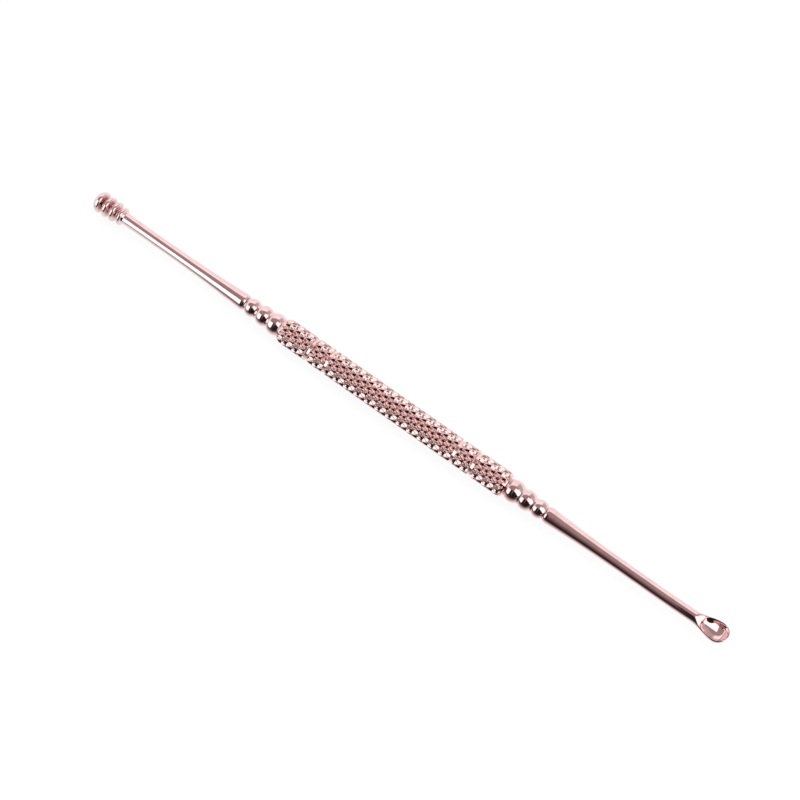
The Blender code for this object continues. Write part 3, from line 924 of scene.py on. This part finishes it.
def floor_material():
    """Pale matt floor with a glow that makes it read white."""
    material, tree = new_material("pale_floor")
    tree.nodes.clear()
    matt = node(tree, "ShaderNodeBsdfDiffuse", in_Color=(FLOOR_COLOUR, FLOOR_COLOUR, FLOOR_COLOUR, 1))
    light = node(tree, "ShaderNodeEmission")
    tree.links.new(combine(tree, "MULTIPLY", first_sight(tree), FLOOR_GLOW), light.inputs["Strength"])
    both = node(tree, "ShaderNodeAddShader")
    out = node(tree, "ShaderNodeOutputMaterial")
    tree.links.new(matt.outputs["BSDF"], both.inputs[0])
    tree.links.new(light.outputs["Emission"], both.inputs[1])
    tree.links.new(both.outputs["Shader"], out.inputs["Surface"])
    return material


def make_world():
    """White surroundings for the camera and for reflections, and a softer fill for matt surfaces."""
    world = bpy.data.worlds.new("studio")
    bpy.context.scene.world = world
    world.use_nodes = True
    tree = world.node_tree
    tree.nodes.clear()
    level = node(tree, "ShaderNodeMapRange", in_To_Min=WORLD_FILL, in_To_Max=1.0)
    tree.links.new(first_sight(tree), level.inputs["Value"])
    sky = node(tree, "ShaderNodeBackground", in_Color=(*WHITE, 1))
    tree.links.new(level.outputs["Result"], sky.inputs["Strength"])
    out = node(tree, "ShaderNodeOutputWorld")
    tree.links.new(sky.outputs["Background"], out.inputs["Surface"])


def make_lamp():
    """Soft lamp behind and above the tool, whose own shape isn't seen in the plating."""
    data = bpy.data.lights.new("soft_lamp", "AREA")
    data.energy = LAMP_POWER
    data.size = LAMP_SIZE
    lamp = bpy.data.objects.new("soft_lamp", data)
    lamp.location = LAMP_PLACE
    lamp.rotation_euler = (-LAMP_PLACE).to_track_quat("-Z", "Y").to_euler()
    lamp.visible_glossy = False
    bpy.context.scene.collection.objects.link(lamp)


def make_stage():
    """Floor, world, reflector cards, low flags of painted light and shade, and lamp."""
    half = FLOOR_SIZE / 2
    corners = [(-half, -half, 0), (half, -half, 0), (half, half, 0), (-half, half, 0)]
    floor = make_object("floor", corners, [(0, 1, 2, 3)], floor_material())
    make_world()
    for name, card in CARDS.items():
        make_card(name, card)
    for name, flag in SHADE_FLAGS.items():
        make_shade_flag(name, flag)
    make_lamp()


def make_camera():
    """Camera at the photograph's viewing angle."""
    data = bpy.data.cameras.new("camera")
    data.lens = CAMERA_LENS_MM
    data.sensor_width = CAMERA_SENSOR_MM
    data.clip_start = CAMERA_CLIP_START
    camera = bpy.data.objects.new("camera", data)
    bpy.context.scene.collection.objects.link(camera)
    level = math.cos(CAMERA_ELEVATION)
    back = Vector((
        math.sin(CAMERA_AZIMUTH) * level,
        -math.cos(CAMERA_AZIMUTH) * level,
        math.sin(CAMERA_ELEVATION),
    ))
    camera.location = CAMERA_TARGET + back * CAMERA_DISTANCE
    camera.rotation_euler = (-back).to_track_quat("-Z", "Y").to_euler()
    bpy.context.scene.camera = camera


def dress(piece, cad_node):
    """Let a piece stand for its CAD node and move with the tool."""
    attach(piece, BODY)
    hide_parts(cad_node)


def build():
    """Make the stage, the camera and the five pieces."""
    bpy.context.scene.view_settings.view_transform = "Standard"
    make_stage()
    make_camera()
    polished = plating("polished_rose_gold", POLISHED)
    ringed = plating("ringed_rose_gold", RINGED)
    knurled = plating("knurled_rose_gold", KNURLED)
    dress(grip_piece(knurled), "knurled_grip")
    ring_seam = GRIP_START - SEAM_GAP
    ring_beads = turned("ring_end_beads", collar_outline(), ring_seam, -1, polished, closed=True)
    dress(ring_beads, "ring_end_bead_collar")
    scoop_seam = GRIP_END + SEAM_GAP
    scoop_beads = turned("scoop_end_beads", collar_outline(), scoop_seam, 1, polished, closed=True)
    dress(scoop_beads, "scoop_end_bead_collar")
    ring_tip = turned("four_ring_tip", ring_tip_outline(), RING_SEAT, -1, ringed)
    dress(ring_tip, "ring_tip")
    dress(scoop_piece(polished), "scoop_tip")


build()
